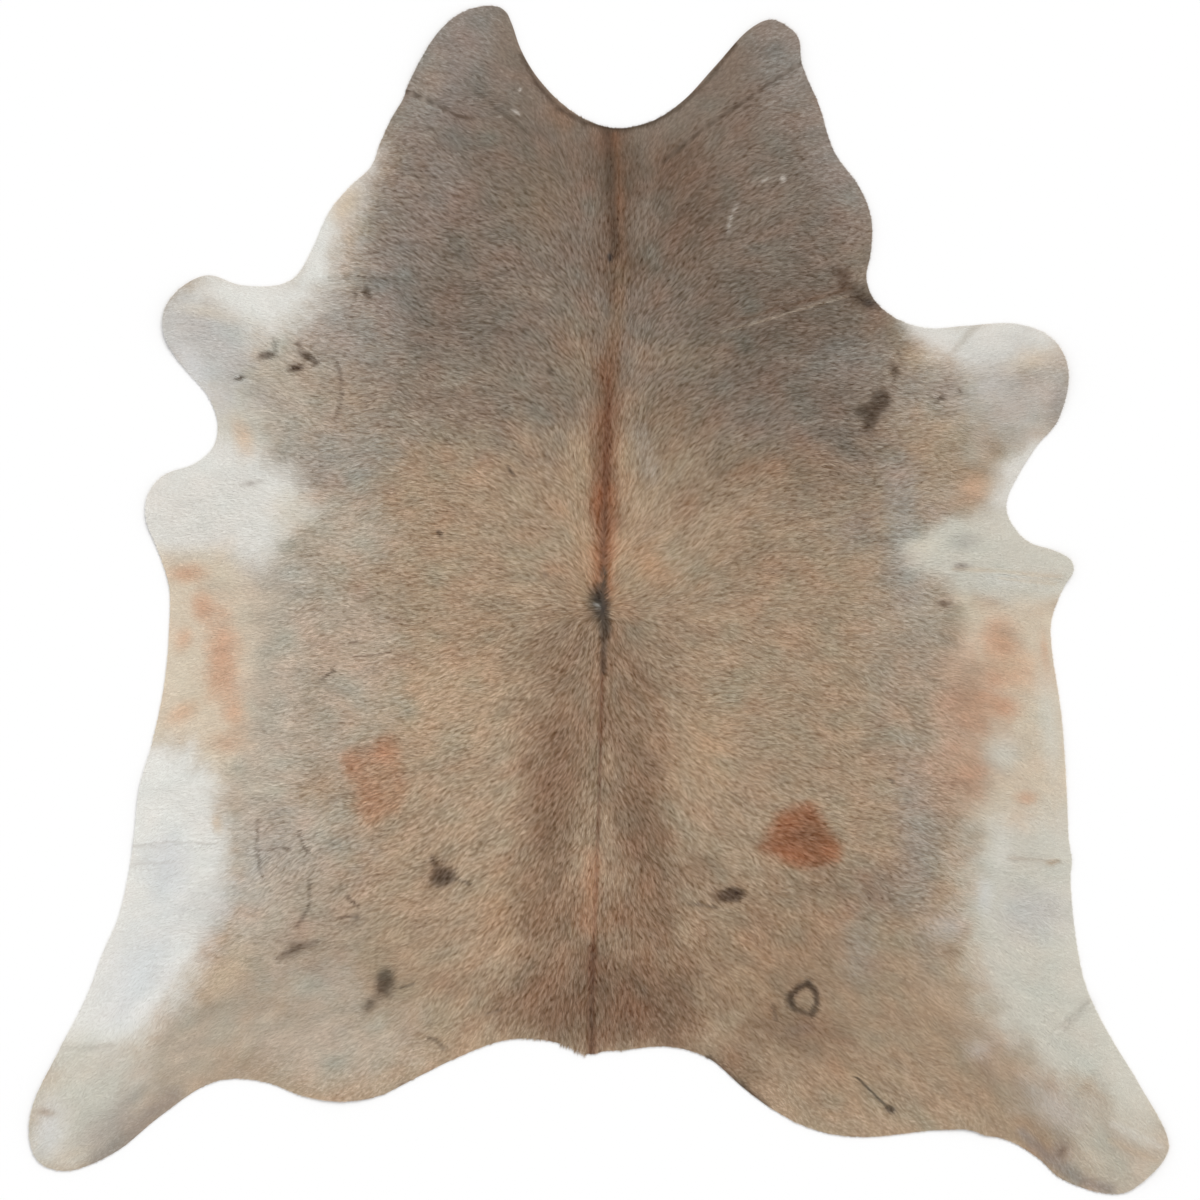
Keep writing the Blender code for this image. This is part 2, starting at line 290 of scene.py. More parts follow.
# The pale hair of the belly and the legs, round the rim
PALE_AREAS = table(Area, {
    "left shoulder": (((380, 150), (361, 195), (348, 240), (341, 278), (331, 315), (291, 340), (250, 340),
                       (222, 326), (205, 302), (180, 262), (280, 262), (320, 190)), 100, "white", 1.0),
    "left armpit": (((190, 372), (224, 384), (250, 414), (260, 450), (200, 470)), 75, "bone", 0.9),
    "left belly lobe": (((120, 470), (215, 436), (252, 450), (294, 480), (306, 508), (280, 538),
                         (262, 562), (205, 568), (120, 568)), 75, "white", 0.95),
    "left edge": (((140, 550), (225, 552), (246, 600), (252, 690), (248, 750), (215, 790), (180, 750),
                   (120, 745)), 65, "cream", 0.95),
    "left flank": (((100, 745), (196, 738), (214, 775), (220, 815), (236, 855), (232, 900), (214, 950),
                    (190, 988), (164, 1028), (142, 1050), (100, 1062), (60, 1060), (0, 1060), (0, 960)),
                   80, "white", 1.0),
    "left hind leg": (((60, 1035), (150, 1032), (152, 1062), (130, 1098), (104, 1134), (72, 1185),
                       (0, 1170), (20, 1090)), 80, "bone", 0.75),
    "right shoulder": (((895, 300), (960, 318), (1060, 310), (1062, 358), (1010, 370), (972, 374),
                        (930, 354), (908, 336)), 55, "white", 0.95),
    "right front leg": (((962, 365), (1090, 340), (1090, 420), (1030, 450), (990, 430), (972, 400)),
                        120, "lilac grey", 0.75),
    "right armpit": (((1070, 430), (1030, 442), (1000, 462), (990, 490), (985, 515), (1040, 530),
                      (1050, 450)), 55, "white", 0.9),
    "right belly lobe": (((1040, 505), (985, 510), (940, 525), (898, 543), (905, 566), (945, 585),
                          (975, 604), (1012, 618), (1040, 610), (1110, 590), (1110, 530)),
                         50, "bone", 1.0),
    "right edge": (((960, 600), (1090, 600), (1090, 840), (1000, 842), (955, 800), (938, 750), (942, 690),
                    (960, 640)), 55, "cream", 0.9),
    "right flank": (((1000, 812), (1100, 795), (1130, 970), (1190, 1080), (1150, 1130), (1100, 1095),
                     (1030, 1070), (995, 1015), (965, 970), (955, 912), (960, 865), (974, 828)),
                    90, "bone", 1.0),
    "right hind leg": (((1060, 1080), (1190, 1080), (1190, 1210), (1090, 1220)), 90, "bone", 0.6),
})

LEFT_EDGE_PATCHES = table(Patch, {
    "shoulder, warm": (345, 205, 110, 60, "sand", 0.7, 60),
    "front leg": (194, 334, 280, 220, "lilac grey", 1.0, 110, 0.6),
    "front leg, tan": (210, 312, 170, 50, "cream", 0.5, 170),
    "front leg, white": (230, 296, 250, 130, "white", 0.9, 165),
    "front leg, rim": (192, 366, 160, 70, "cold white", 0.75, 125),
    "armpit, orange": (243, 436, 85, 50, "peach", 0.6, 110),
    "belly lobe, grey": (252, 483, 60, 16, "ash", 0.35, 10),
    "belly lobe, tip": (290, 512, 100, 110, "cream", 0.45),
    "edge, rim": (186, 574, 120, 60, "orange", 0.8),
    "edge, high": (203, 607, 100, 70, "orange", 0.75, 100),
    "edge, small": (184, 640, 80, 44, "orange", 0.6, 70),
    "edge, inner": (222, 650, 200, 90, "orange", 0.8, 95),
    "edge, strong": (217, 682, 130, 90, "orange", 0.8, 90),
    "edge, lower": (234, 710, 160, 85, "orange", 0.7, 95),
    "edge, outer": (182, 712, 120, 60, "peach", 0.75, 30),
    "edge, last": (225, 742, 130, 80, "orange", 0.55),
    "edge, cream": (180, 668, 80, 50, "cream", 0.7, 90),
    "hind leg, grey": (78, 1060, 160, 120, "bone", 0.65, 40),
    "hind leg, pale": (48, 1128, 180, 100, "cold white", 0.7, 75),
    "hind leg, shade": (112, 1128, 200, 120, "ash", 0.4, 45),
    # Painted shade along a crease of the hind leg
    "hind leg, crease": (46, 1112, 70, 24, "greige", 0.55, 170),
    "hind leg, yellow": (78, 1152, 100, 30, "sand", 0.25, 20),
    "flank, cold": (170, 865, 220, 120, "cold white", 0.9, 90),
    "flank, lower": (140, 975, 400, 170, "cold white", 0.9, 62),
    "flank, cream": (217, 823, 50, 26, "sand", 0.6, 100),
    "flank, smoky": (218, 905, 240, 130, "lilac grey", 0.6, 70),
    "rust patch, upper": (353, 762, 60, 70, "rust", 0.45),
    "rust patch, right": (384, 747, 80, 60, "rust", 0.45, 60),
    "rust patch, lower": (382, 803, 90, 70, "rust", 0.5),
})

RIGHT_EDGE_PATCHES = table(Patch, {
    "shoulder, warm": (1032, 360, 150, 70, "cream", 0.6, 15),
    "front leg, blue": (988, 386, 70, 50, "lilac grey", 0.6),
    "front leg, rim": (1060, 400, 160, 60, "cool grey", 0.8, 75),
    "armpit, pale": (976, 455, 120, 80, "pale greige", 0.8),
    "armpit, orange": (974, 488, 100, 70, "peach", 0.6, 20),
    "armpit, lower": (966, 500, 90, 40, "clay", 0.5, 15),
    # The grey and the dark patch on this belly lobe are painted soft shadows in the white hair
    "belly lobe, grey": (965, 542, 75, 40, "cool grey", 0.35, 10),
    "belly lobe, tip": (922, 549, 140, 80, "cream", 0.3),
    "belly lobe, dark": (961, 567, 48, 24, "ash", 0.8),
    "belly lobe, white": (1002, 578, 150, 60, "white", 0.45),
    "edge, high": (1003, 643, 150, 120, "orange", 1.0, 120),
    "edge, rim": (1045, 655, 150, 26, "orange", 0.6, 95),
    "edge, wide": (1006, 670, 200, 140, "peach", 0.85),
    "edge, inner": (962, 700, 200, 240, "clay", 1.0, 0, 0.9),
    "edge, strong": (974, 710, 120, 100, "orange", 0.55, 90),
    "edge, stroke": (1000, 706, 120, 70, "orange", 0.9, 160),
    "edge, lower": (960, 775, 170, 190, "clay", 0.95, 0, 0.9),
    "edge, lower, strong": (968, 770, 140, 90, "orange", 0.5, 80),
    "edge, pale rim": (1050, 730, 340, 70, "bone", 0.8, 96),
    "edge, pale": (1003, 754, 100, 90, "bone", 0.9),
    "edge, last": (1027, 798, 70, 42, "orange", 0.6),
    "flank, pale": (985, 895, 140, 60, "cold white", 0.5, 90),
    "flank, grey": (1030, 912, 240, 170, "lilac grey", 0.8),
    "flank, white": (1002, 850, 200, 80, "white", 0.35, 90),
    "hind leg, pale": (1085, 1060, 200, 110, "bone", 0.8, 130),
})

# The two red patches, and the dark middle of one
RUST_AREAS = table(Area, {
    "left rust patch": (((342, 757), (358, 742), (374, 746), (388, 734), (398, 742), (404, 772),
                         (408, 800), (400, 817), (370, 823), (352, 806), (356, 784), (348, 776)),
                        30, "rust", 0.48),
    "right rust patch": (((810, 802), (824, 818), (842, 846), (836, 859), (808, 865), (784, 862),
                          (764, 846), (772, 828), (777, 814), (794, 806)), 34, "russet", 0.95),
})

RUST_PATCHES = table(Patch, {
    "right rust patch, core": (803, 832, 130, 85, "chestnut", 0.7, 50),
})

# The dark line down the back, and the glow round it
SPINE_STRIPES = table(Stripe, {
    "brown at the neck": (((613, 128), (618, 190), (619, 262)), 130, "umber", 0.66),
    "red at the neck": (((613, 130), (618, 190), (617, 250)), 40, "chestnut", 0.7),
    "dark line at the neck": (((608, 130), (612, 190), (615, 240), (614, 312)), 30, "soot", 0.55),
    "light part": (((619, 268), (617, 320), (609, 370)), 52, "brown", 0.75),
    "glow": (((603, 455), (600, 520), (600, 590)), 180, "warm tan", 0.85),
    "grey beside it": (((640, 430), (650, 470)), 70, "cool grey", 0.35),
    "red at the shoulders": (((608, 370), (606, 440), (604, 515)), 92, "chestnut", 0.9),
    "red above the whorl": (((604, 490), (604, 545), (603, 590)), 62, "russet", 0.85),
    "dark line at the shoulders": (((609, 380), (606, 470), (603, 570)), 26, "bay", 0.9),
    "brown below the whorl": (((606, 630), (604, 680), (603, 720)), 80, "brown", 0.5),
    "back": (((603, 640), (600, 760), (597, 860), (594, 940)), 70, "brown", 0.3),
    "thin line": (((603, 640), (600, 760), (597, 860), (593, 960), (592, 1052)), 13, "bay", 0.7),
    "warm at the loin": (((594, 855), (588, 925)), 60, "rust", 0.48),
})

# The whorl, where the hair starts
WHORL_PATCHES = table(Patch, {
    "halo": (594, 624, 130, 80, "drab", 0.4, 90),
    "dark tuft": (600, 607, 90, 52, "soot", 1.0, 95, 0.8),
    "dark tuft, lower": (605, 624, 80, 34, "soot", 0.95, 97, 0.9),
    "dark tuft, core": (602, 604, 80, 34, "black", 0.45, 95),
    "grey fan": (590, 614, 50, 30, "brown", 0.5, 50),
    "flash": (597, 606, 26, 14, "lilac grey", 0.5, 118),
})

WHORL_STRIPES = table(Stripe, {
    "dark line above": (((604, 572), (604, 600)), 18, "soot", 0.9),
    "dark line below": (((604, 628), (603, 672)), 24, "soot", 0.75),
})

# Old bites and stains
FRONT_MARKS = table(Patch, {
    "left front leg, long": (267, 355, 49, 20, "soot", 0.7, 5, 0.9),
    "left front leg, upper": (275, 345, 34, 16, "soot", 0.3, 100),
    "left front leg, dark": (296, 368, 46, 22, "soot", 0.85, 10, 0.9),
    "left front leg, arch": (308, 357, 52, 22, "soot", 0.85, 150),
    "left front leg, top": (299, 345, 36, 15, "soot", 0.6, 100),
    "left front leg, tail": (315, 364, 26, 17, "soot", 0.5, 40),
    "left armpit dash": (240, 378, 22, 9, "soot", 0.8, 20),
    "shoulder ring, left side": (355, 294, 34, 14, "soot", 0.65, 100),
    "shoulder ring, right side": (367, 293, 44, 24, "soot", 0.8, 110),
    "left back dot": (439, 533, 30, 19, "soot", 0.85, 110),
    "upper back dash": (510, 470, 34, 11, "soot", 0.8, 120),
    "upper back dot": (550, 371, 22, 16, "soot", 0.7, 100),
    "middle dot": (545, 575, 20, 12, "soot", 0.45, 110),
    "spine dot": (610, 257, 20, 14, "black", 0.75, 90),
    "spine dot below": (613, 284, 23, 12, "umber", 0.9, 100),
    "right shoulder, upper": (880, 402, 61, 43, "soot", 0.82, 60, 0.7),
    "right shoulder, left": (863, 411, 38, 29, "soot", 0.8, 30, 0.8),
    "right shoulder, lower": (870, 422, 52, 38, "soot", 0.82, 75, 0.8),
    "right elbow smudge": (895, 370, 50, 28, "soot", 0.75, 100),
    "right elbow smudge, top": (899, 355, 35, 13, "soot", 0.4, 95),
    "right elbow spot": (941, 398, 26, 13, "soot", 0.75, 10),
    "right elbow dot": (960, 391, 20, 13, "soot", 0.5, 120),
    "right neck scuff": (859, 297, 110, 60, "soot", 0.85, 155),
    "right neck scuff, left": (846, 285, 70, 50, "soot", 0.62, 80),
    "right neck scuff, top": (840, 273, 70, 42, "soot", 0.58, 160),
    "right neck scuff, rim": (870, 304, 52, 26, "black", 0.5, 160),
})

REAR_MARKS = table(Patch, {
    "right flank smudge": (944, 604, 41, 20, "soot", 0.45, 165),
    "right flank dot": (892, 781, 20, 13, "soot", 0.75, 150),
    "left loin spot": (443, 877, 74, 52, "soot", 0.95, 10, 0.8),
    "left loin spot, halo": (442, 874, 98, 72, "umber", 0.5, 60),
    "left thigh blob": (385, 982, 84, 56, "soot", 0.76, 82, 0.8),
    "left thigh blob, gap": (389, 990, 18, 12, "greige", 0.5, 60),
    "left thigh blob, tail": (370, 1004, 56, 34, "soot", 0.5, 60),
    "left smudge": (295, 948, 60, 36, "soot", 0.4, 35),
    "right loin spot": (731, 895, 56, 30, "soot", 1.0, 10, 0.7),
    "right loin spot, halo": (722, 896, 87, 43, "umber", 0.45),
    # Painted shadow below the thigh ring
    "right thigh ring, shade": (802, 1029, 80, 40, "taupe", 0.55, 20),
    "scratch end": (890, 1109, 25, 17, "soot", 0.95, 170, 0.8),
    "inside of the right hind leg": (1058, 1153, 87, 58, "ash", 0.7, 60),
    "inside of the right hind leg, dark": (1062, 1152, 43, 23, "soot", 0.35, 60),
    "right flank, old cut": (1053, 862, 46, 18, "warm tan", 0.6, 10),
})

# Old scratches and cuts
SCRATCHES = table(Stripe, {
    "right thigh ring, left": (((808, 983), (800, 987), (790, 997), (792, 1004)), 25, "soot", 0.9),
    "right thigh ring, right": (((808, 983), (816, 992), (817, 1004), (812, 1014)), 22, "soot", 0.85),
    "right thigh ring, foot": (((794, 1008), (806, 1013)), 18, "soot", 0.6),
    "right thigh ring, arc": (((774, 1006), (776, 1020)), 10, "soot", 0.4),
    "long scratch": (((857, 1077), (868, 1088), (880, 1100), (889, 1108)), 7, "soot", 0.8),
    "left flank, upright": (((257, 820), (257, 845), (258, 862), (263, 880)), 9.5, "soot", 0.48),
    "left flank, level": (((269, 850), (279, 847), (290, 850)), 10, "soot", 0.36),
    "left flank, second": (((298, 831), (301, 842), (308, 853)), 10, "soot", 0.5),
    "left flank, third": (((309, 880), (309, 905), (303, 917), (296, 926)), 9, "soot", 0.5),
    "left flank, first hook": (((347, 896), (352, 902), (358, 907)), 11, "soot", 0.6),
    "left flank, second hook": (((340, 918), (350, 916), (358, 918)), 9, "soot", 0.5),
    "left smudge, length": (((278, 958), (290, 951), (303, 945), (316, 942)), 20, "soot", 0.35),
    "left thigh blob, tick": (((399, 988), (413, 984)), 9, "soot", 0.45),
    "left shoulder line": (((337, 362), (341, 378), (342, 395), (335, 418)), 7.5, "soot", 0.55),
    "left thigh mark": (((428, 1038), (436, 1040), (443, 1048)), 12, "soot", 0.5),
    "left rump mark": (((486, 1014), (500, 1010)), 8, "soot", 0.45),
    "left middle gash": (((321, 680), (329, 673), (335, 671)), 7, "soot", 0.75),
    "left middle streak": (((352, 657), (368, 656), (392, 652)), 5.5, "umber", 0.55),
    "left middle streak, upper": (((350, 643), (358, 641)), 6, "umber", 0.6),
    "left loin tail, upper": (((432, 858), (438, 870)), 16, "soot", 0.5),
    "left loin tail, right": (((452, 878), (470, 884)), 10, "soot", 0.5),
    "right loin tail": (((689, 904), (704, 905), (718, 908)), 9, "soot", 0.5),
    "neck arc": (((457, 192), (459, 205), (456, 220)), 6, "dusk", 0.5),
    "left neck mark": (((448, 232), (450, 250)), 8, "soot", 0.3),
})

# Painted shade along the old fold lines, and a pale painted highlight along the right shoulder fold
FOLD_STRIPES = table(Stripe, {
    "left neck fold, outer": (((404, 91), (430, 102), (456, 116), (474, 120)), 13, "soot", 0.62),
    "left neck fold, inner": (((466, 83), (490, 103), (505, 115), (530, 135)), 11, "soot", 0.4),
    "right neck fold": (((803, 63), (770, 83), (745, 101), (705, 128), (664, 162)), 14, "soot", 0.6),
    "chest fold": (((345, 277), (420, 279), (500, 283), (566, 287)), 8, "dusk", 0.45),
    "right shoulder fold": (((722, 332), (764, 321), (790, 313), (848, 296)), 9, "greige", 0.55),
    "right shoulder fold, shade": (((740, 320), (790, 306), (850, 288)), 15, "umber", 0.5),
    "right shoulder, shade": (((979, 324), (966, 336), (955, 350)), 20, "stone", 0.6),
    "right belly fold": (((955, 569), (1000, 571), (1060, 577)), 16, "sand", 0.32),
    "right belly fold, lower": (((1000, 578), (1055, 584)), 12, "sand", 0.28),
    "left flank fold": (((133, 846), (170, 842), (215, 844)), 6, "ash", 0.25),
    "left flank fold, lower": (((132, 864), (180, 862)), 5, "ash", 0.2),
    "right flank fold": (((1010, 858), (1040, 860), (1068, 862)), 14, "greige", 0.25),
    "right hind fold": (((1086, 1002), (1078, 1013), (1064, 1026)), 26, "stone", 0.6),
    "left hind fold": (((62, 1046), (90, 1047), (112, 1045)), 24, "stone", 0.4),
    "upper right line": (((780, 408), (820, 411), (862, 411)), 5, "dusk", 0.45),
    "middle line": (((620, 724), (660, 716), (700, 719)), 5, "brown", 0.45),
})

# Shade along the rim, and the line down to the tail
RIM_STRIPES = table(Stripe, {
    "nape rim": (((521, 55), (535, 82), (558, 108), (585, 123), (618, 130), (650, 124), (680, 107),
                  (708, 80), (735, 45)), 15, "soot", 0.8),
    "right hind leg rim": (((1022, 1132), (1050, 1160), (1080, 1180), (1110, 1190)), 45, "ash", 0.75),
    "right hind leg streak": (((1112, 1124), (1138, 1136), (1160, 1146)), 26, "white", 0.32),
    "right hind leg streak, lower": (((1110, 1140), (1132, 1150), (1156, 1160)), 22, "sand", 0.35),
    "tail line": (((593, 950), (591, 990), (591, 1020), (592, 1054)), 26, "bay", 0.8),
    "tail line, core": (((593, 955), (591, 1000), (592, 1054)), 15, "soot", 0.34),
    "tail rim, right": (((708, 1060), (722, 1074), (742, 1088), (765, 1108)), 24, "soot", 0.85),
    "tail rim, left": (((400, 1086), (430, 1074), (460, 1058)), 9, "umber", 0.5),
    "left hind leg rim": (((100, 1162), (125, 1142), (150, 1116), (175, 1096)), 64, "ash", 0.6),
})

# Bare pale scars
SCAR_PATCHES = table(Patch, {
    "left neck scar": (520, 90, 22, 10, "scar", 1.0, 60, 0.9),
    "left neck scar, lower": (516, 112, 26, 11, "scar", 1.0, 150, 0.9),
    "left neck scar, side": (499, 117, 18, 8, "scar", 0.8, 20),
    "right neck scar": (784, 179, 14, 24, "scar", 1.0, 20, 0.9),
    "right neck scar, left": (766, 180, 28, 10, "scar", 0.8, 25),
})

SCAR_STRIPES = table(Stripe, {
    "right neck scratch": (((737, 205), (731, 217), (728, 235)), 11, "scar", 0.7),
})

# The order in which the shapes are painted
LAYERS = (
    NECK_AREAS, NECK_PATCHES, SHOULDER_PATCHES, BACK_PATCHES, LOIN_PATCHES, BAND_PATCHES, RUMP_PATCHES,
    PALE_AREAS, LEFT_EDGE_PATCHES, RIGHT_EDGE_PATCHES, RUST_AREAS, RUST_PATCHES, SPINE_STRIPES,
    WHORL_PATCHES, WHORL_STRIPES, FRONT_MARKS, REAR_MARKS, SCRATCHES, FOLD_STRIPES, RIM_STRIPES,
    SCAR_PATCHES, SCAR_STRIPES,
)

# Places where the hair lies so smooth that single hairs hardly show
Calm = namedtuple("Calm", "column row length width strength turn edge", defaults=(0, 0.8))
CALM_PATCHES = table(Calm, {
    "neck": (600, 90, 1000, 600, 0.4),
    "left side": (225, 600, 1100, 260, 0.6, 90),
    "left loin": (330, 1000, 800, 440, 0.5, 0, 0.9),
    "right loin": (850, 1010, 800, 500, 0.4, 0, 0.9),
    "left thigh": (150, 1080, 800, 400, 0.65, 35),
    "right side": (1010, 640, 1500, 300, 0.7, 90, 0.7),
    "right thigh": (1060, 1080, 800, 440, 0.7, 140),
})

# The middle of the back, where the hair parts
SPINE = ((616, 120), (616, 200), (610, 260), (608, 350), (605, 450), (603, 600), (600, 700), (597, 850),
         (592, 1055))

# Where the hair points, in degrees up from straight outwards, at each distance from the spine in
# pixels. Both sides are alike.
FLOW_OFFSETS = (10, 50, 120, 250, 430)
Flow = namedtuple("Flow", "row angles")
FLOWS = (
    Flow(100, (86, 52, 22, 6, 5)),
    Flow(250, (86, 48, 20, 4, 0)),
    Flow(400, (80, 48, 20, 4, 2)),
    Flow(520, (75, 40, 12, -2, -5)),
    Flow(585, (72, 34, 8, -4, -8)),
    Flow(607, (15, 5, -2, -8, -10)),
    Flow(630, (-72, -34, -10, -12, -14)),
    Flow(700, (-75, -40, -18, -16, -22)),
    Flow(850, (-85, -60, -30, -20, -26)),
    Flow(1000, (-88, -72, -44, -28, -36)),
    Flow(1120, (-88, -76, -55, -32, -45)),
)

# Old fold lines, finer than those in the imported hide: soft ridges, or troughs below zero, in millimetres
Fold = namedtuple("Fold", "route width height")
FOLDS = {
    "left neck, outer": Fold(((404, 92), (430, 103), (456, 117), (478, 121)), 16, -1.6),
    "left neck, inner": Fold(((468, 84), (488, 101), (508, 116), (528, 133)), 16, -1.2),
    "right neck": Fold(((802, 63), (772, 80), (745, 101), (705, 127), (665, 160)), 16, -1.6),
    "chest": Fold(((322, 276), (420, 279), (500, 284), (566, 287)), 18, 1.0),
    "right shoulder": Fold(((722, 331), (764, 321), (790, 313), (825, 304), (850, 296)), 14, 1.8),
    "right belly": Fold(((940, 572), (1000, 573), (1060, 578)), 12, 1.2),
    "left flank": Fold(((130, 843), (180, 842), (222, 845)), 12, 1.4),
    "right hind leg": Fold(((1052, 1034), (1070, 1018), (1090, 1003)), 14, 1.6),
    "left hind leg": Fold(((62, 1046), (85, 1047), (112, 1045)), 14, 1.2),
}

# The square of floor that the grids cover, and the cells of two of them, in metres
SPAN = 2.60
DISTANCE_CELL = 0.0020
HEIGHT_CELL = 0.010

# Grids of soft random values: how wide their spots are in metres, how much they change what they are
# used for, and their seed. Three bend the hair's direction, by degrees, and three fray the edges of shapes,
# which fray less round an area. The gain brings the soft values back to about -1 and 1.
Spots = namedtuple("Spots", "size strength seed")
SWAY = Spots(0.070, 10, 11)
WAVE = Spots(0.024, 13, 12)
CURL = Spots(0.009, 9, 13)
FRAYS = (Spots(0.060, 0.20, 21), Spots(0.022, 0.16, 22), Spots(0.008, 0.12, 23))
SPOT_GAIN = 1.3
AREA_FRAY = 0.8

# Random values drawn out along the hair as streaks: the cell of their grid in metres, how often they
# double in length, the rounds that soften their spots, and their seed. Level takes away a share of
# what is broader than so many rounds of softening. Streaks and bands have their limits.
Smear = namedtuple("Smear", "cell doublings rounds seed level", defaults=(0,))
CLOUDS = Smear(0.005, 3, 2, 24)
BLUSHES = Smear(0.013, 1, 1, 25)
LONG_STREAKS = Smear(0.00125, 2, 2, 31, level=8)
SHORT_STREAKS = Smear(0.00125, 1, 1, 33, level=8)
BROAD_BANDS = Smear(0.0025, 3, 1, 32)
LEVEL_SHARE = 0.6
STREAK_LIMIT = 2.2
BAND_LIMIT = 2

# Soft clouds of shade, warmer and cooler blushes, and how far single hairs mingle across soft edges
CLOUD_SHADE = 0.022
BLUSH = (0.008, -0.001, -0.003)
MINGLING = 0.12

# How far streaks, broader bands and single locks differ in shade, how much darker the gaps between
# streaks are than the streaks are light, the tint of all these shades, and the darkest that hair can be.
# The light streaks and their darker gaps are painted light and shade of the hair's clumps; the bands and
# single locks differ in tone at random.
STREAK_SHADE = 0.069
BAND_SHADE = 0.010
OWN_SHADE = 0.030
GAP_SHADE = 0.22
STREAK_TINT = (0.94, 1.00, 1.05)
DARKEST = 0.02

# The brighter the hair, the fainter its clouds and its single hairs: brightness, and the share at each
CLOUD_FADE = ((0.64, 0.80), (1.0, 0.3))
HAIR_FADE = ((0.52, 0.66, 0.82), (1.0, 0.70, 0.10))

# A lock's own brightness, how much lighter its tip is than its root, and how far it rolls, in degrees.
# The lighter tip is painted light, and the darker root is painted shade down among the locks.
LOCK_SHADE = 1.17
TIP_PAINTED_LIGHT = (0.42, 0.45, 0.48)
ROLL = 24

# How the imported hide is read: corners nearer than this are one, in metres, and the underside and the
# cut edge are told apart by how far a face's normal points down
SAME_PLACE = 1e-6
STEEP = 0.5

# How its outline is rounded: the steps from corner to corner, and the gap between the rim's points and
# the slack of the sheet's triangles in metres. Heights are carried on over so many cells past the rim.
CURVE_STEPS = 16
FINE_STEP = 0.001
TRIANGLE_SLACK = 1e-7
HEIGHT_ROUNDS = 4

# The studio, in metres. The key light is in watts for each square metre, and the sky is a plain factor.
CAMERA_HEIGHT = 6.0
FLOOR_SIDE = 16.0
FLOOR_DROP = 0.0005
FLOOR_COLOUR = (0.98, 0.98, 0.98)
SKY_STRENGTH = 0.62
KEY_STRENGTH = 1.70


class Picture:
    """Turns a column and a row of the reference picture into metres on the floor, and back."""

    def __init__(self, length):
        self.scale = length / (HIDE_ROWS[1] - HIDE_ROWS[0])
        self.middle = np.array((sum(HIDE_COLUMNS) / 2, sum(HIDE_ROWS) / 2))

    def place(self, places):
        return (np.array(places, dtype=float) - self.middle) * (self.scale, -self.scale)

    def pixels(self, points):
        return points / (self.scale, -self.scale) + self.middle


def soft_step(distance):
    """Falls smoothly from 1 where the distance is 0 or less to nothing where it is 1 or more."""
    return np.cos(np.clip(distance, 0, 1) * math.pi / 2) ** 2


def distance_to_line(points, line):
    """How far each point lies from a line of straight stretches."""
    nearest = np.full(len(points), np.inf)
    for start, end in zip(line[:-1], line[1:]):
        run = end - start
        share = np.clip((points - start) @ run / (run @ run), 0, 1)
        nearest = np.minimum(nearest, np.linalg.norm(points - start - share[:, None] * run, axis=1))
    return nearest


class Grid:
    """Values on a square grid over the floor, read off smoothly at any point."""

    def __init__(self, values, cell):
        self.values = values
        self.cell = cell

    def at(self, points):
        # The place stops just short of the last row and column, so that it always has four corners
        place = np.clip((points + SPAN / 2) / self.cell, 0, len(self.values) - 1.001)
        corner = place.astype(np.int32)
        across, up = (place - corner).T
        column, row = corner.T
        low = self.values[row, column] * (1 - across) + self.values[row, column + 1] * across
        high = self.values[row + 1, column] * (1 - across) + self.values[row + 1, column + 1] * across
        return low * (1 - up) + high * up


def noise(spots):
    """A grid of smooth random values, mostly between -1 and 1."""
    count = math.ceil(SPAN / spots.size) + 2
    values = np.random.default_rng(spots.seed).standard_normal((count, count))
    return Grid(soften(values, 1) * SPOT_GAIN, spots.size)


def soften(values, rounds):
    """The grid's values averaged with their neighbours, a few times over."""
    for _ in range(rounds):
        for axis in (0, 1):
            values = (np.roll(values, 1, axis) + 2 * values + np.roll(values, -1, axis)) / 4
    return values


def grid_points(cell):
    """The floor points of a grid, row by row."""
    count = math.ceil(SPAN / cell) + 1
    steps = np.arange(count) * cell - SPAN / 2
    across, up = np.meshgrid(steps, steps)
    return np.column_stack([across.ravel(), up.ravel()])


def direction(angle):
    """Steps of length 1 at the angles, as rows."""
    return np.column_stack([np.cos(angle), np.sin(angle)])


class HairFlow:
    """The direction in which the hair lies at any point of the hide."""

    def __init__(self, picture):
        self.picture = picture
        self.sway = noise(SWAY)
        self.wave = noise(WAVE)
        self.curl = noise(CURL)

    def angle(self, points):
        column, row = self.picture.pixels(points).T
        spine_rows = [place[1] for place in SPINE]
        spine_columns = [place[0] for place in SPINE]
        offset = column - np.interp(row, spine_rows, spine_columns)
        rows = [flow.row for flow in FLOWS]
        beside = np.array([np.interp(np.abs(offset), FLOW_OFFSETS, flow.angles) for flow in FLOWS])
        share = np.interp(row, rows, np.arange(len(rows)))
        upper = np.minimum(share.astype(int), len(rows) - 2)
        share = share - upper
        each = np.arange(len(points))
        up = beside[upper, each] * (1 - share) + beside[upper + 1, each] * share
        for spots, grid in ((SWAY, self.sway), (WAVE, self.wave), (CURL, self.curl)):
            up = up + spots.strength * grid.at(points)
        return np.radians(np.where(offset > 0, up, 180 - up))


def smeared(smear, flow):
    """Random values drawn out along the hair, with a mean of 0 and a spread of 1."""
    points = grid_points(smear.cell)
    count = math.ceil(SPAN / smear.cell) + 1
    values = np.random.default_rng(smear.seed).standard_normal((count, count)).astype(np.float32)
    values = soften(values, smear.rounds)
    if smear.level:
        values = values - LEVEL_SHARE * soften(values, smear.level)
    along = direction(flow.angle(points))
    for doubling in range(smear.doublings):
        reach = (points + SPAN / 2) / smear.cell + along * 2 ** doubling
        column, row = np.clip(np.rint(reach), 0, count - 1).astype(np.int32).T
        values = (values + values[row, column].reshape(count, count)) / 2
    values = (values - values.mean()) / values.std()
    return Grid(values, smear.cell)


